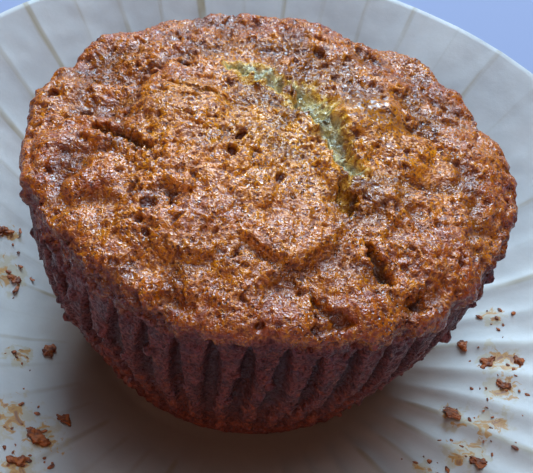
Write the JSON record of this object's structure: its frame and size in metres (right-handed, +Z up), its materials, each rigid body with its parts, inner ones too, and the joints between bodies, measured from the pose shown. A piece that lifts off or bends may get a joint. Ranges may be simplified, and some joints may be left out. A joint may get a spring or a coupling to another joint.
{
  "type": "whole grain muffin on opened paper liner",
  "caption": "Domed whole grain muffin with fluted sides, standing on its peeled-down round pleated paper liner with loose crumbs.",
  "frame": {"origin": "centre of the liner's flat underside, on the table", "axes": "+Z up through the muffin, +Y towards the side where the paper stands steepest, -Y towards the flattened paper in front"},
  "size_m": [0.1421, 0.1363, 0.0479],
  "materials": {
    "baked_crust": "satin",
    "baking_paper": "matte",
    "baked_crumb": "matte"
  },
  "bodies": {
    "root": {"muffin": "baked_crust", "paper_liner": "baking_paper", "crumb_01": "baked_crumb", "crumb_02": "baked_crumb", "crumb_03": "baked_crumb", "crumb_04": "baked_crumb", "crumb_05": "baked_crumb", "crumb_06": "baked_crumb", "crumb_07": "baked_crumb", "crumb_08": "baked_crumb", "crumb_09": "baked_crumb", "crumb_10": "baked_crumb", "crumb_11": "baked_crumb", "crumb_12": "baked_crumb"}
  },
  "joints": []
}
